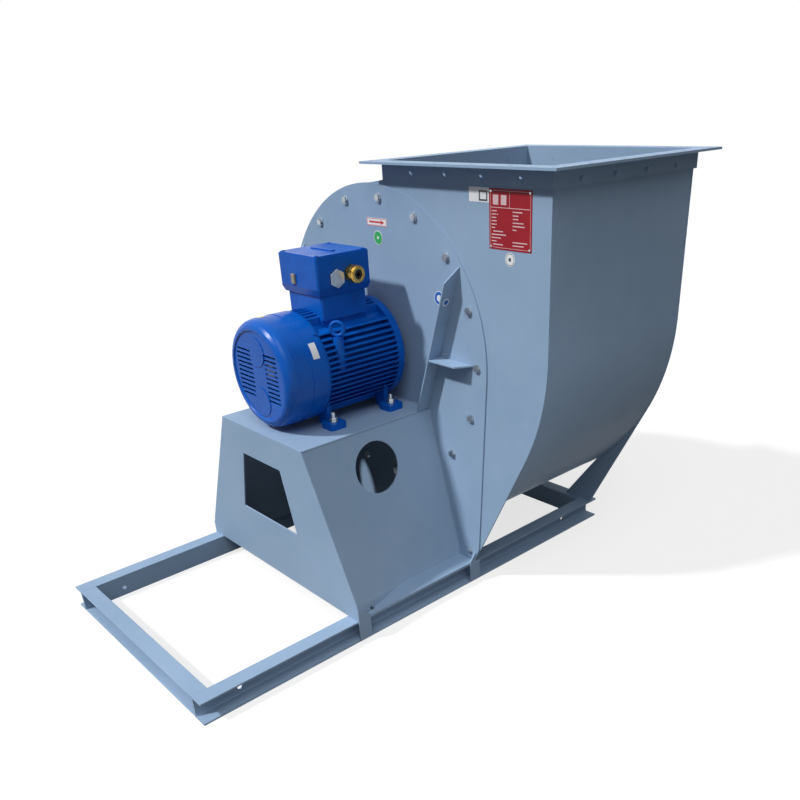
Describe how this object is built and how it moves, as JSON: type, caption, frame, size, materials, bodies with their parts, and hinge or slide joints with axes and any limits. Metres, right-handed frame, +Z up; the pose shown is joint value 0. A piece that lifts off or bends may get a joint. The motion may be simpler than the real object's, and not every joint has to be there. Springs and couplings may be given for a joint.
{
  "type": "centrifugal fan",
  "caption": "Direct drive centrifugal fan: a scroll casing with an upward outlet flange, an inlet cone and impeller, and a foot-mounted motor on a sheet pedestal and channel base frame.",
  "frame": {"origin": "middle of the overall box in plan, on the floor", "axes": "+Z up, -Y toward the motor end, +X toward the outlet side of the scroll; the shaft lies along Y"},
  "size_m": [1.2, 1.574, 1.187],
  "materials": {
    "grey_blue_paint": "satin paint",
    "impeller_paint": "satin primer",
    "motor_paint": "glossy paint on cast iron",
    "cowl_paint": "glossy paint on sheet steel",
    "zinc_steel": "zinc plated",
    "turned_steel": "turned",
    "core_steel": "stacked laminations",
    "winding_copper": "varnished winding",
    "fan_plastic": "moulded",
    "black_plastic": "moulded",
    "gland_brass": "turned brass",
    "red_plate": "printed aluminium",
    "label_white": "printed film",
    "label_cream": "printed film"
  },
  "bodies": {
    "fan": {"base_rail_right": "grey_blue_paint", "base_rail_left": "grey_blue_paint", "base_cross_front": "grey_blue_paint", "base_cross_rear": "grey_blue_paint", "rail_straps": "grey_blue_paint", "base_bolts": "zinc_steel", "pedestal_front": "grey_blue_paint", "pedestal_side_right": "grey_blue_paint", "pedestal_side_left": "grey_blue_paint", "pedestal_top": "grey_blue_paint", "drive_plate": "grey_blue_paint", "arm_right": "grey_blue_paint", "arm_left": "grey_blue_paint", "arm_shelves": "grey_blue_paint", "drive_plate_bolts": "zinc_steel", "casing_side_drive": "grey_blue_paint", "casing_wrap": "grey_blue_paint", "casing_side_inlet": "grey_blue_paint", "outlet_flange": "grey_blue_paint", "outlet_flange_bolts": "zinc_steel", "inlet_cone": "grey_blue_paint", "inlet_flange": "grey_blue_paint", "inlet_bolts": "zinc_steel", "bearing_outer_rings": "zinc_steel", "motor_frame": "motor_paint", "motor_shield_drive": "motor_paint", "motor_shield_rear": "motor_paint", "shield_bolts": "zinc_steel", "stator_core": "core_steel", "stator_windings": "winding_copper", "fan_cowl": "cowl_paint", "cowl_screws": "zinc_steel", "terminal_neck": "motor_paint", "terminal_box": "motor_paint", "terminal_lid": "motor_paint", "lid_screws": "cowl_paint", "terminal_block": "black_plastic", "blanking_plug": "zinc_steel", "side_plug": "zinc_steel", "gland_body": "gland_brass", "gland_nut": "gland_brass", "lifting_eye": "zinc_steel", "motor_foot_bolts": "zinc_steel", "rating_plate": "red_plate", "plate_rivets": "zinc_steel", "casing_labels": "label_white", "drive_plate_labels": "label_white", "motor_labels": "label_cream"},
    "rotor": {"impeller_back_plate": "impeller_paint", "impeller_shroud": "impeller_paint", "impeller_blades": "impeller_paint", "impeller_hub": "turned_steel", "hub_rivets": "zinc_steel", "hub_bolt": "zinc_steel", "motor_shaft": "turned_steel", "shaft_key": "turned_steel", "rotor_core": "core_steel", "cooling_fan": "fan_plastic", "bearing_inner_rings": "zinc_steel"}
  },
  "joints": [
    {"name": "rotor_spin", "type": "hinge", "parent": "fan", "child": "rotor", "pos_m": [-0.1065, 0.157, 0.682], "axis": [0, -1, 0], "continuous": true}
  ]
}
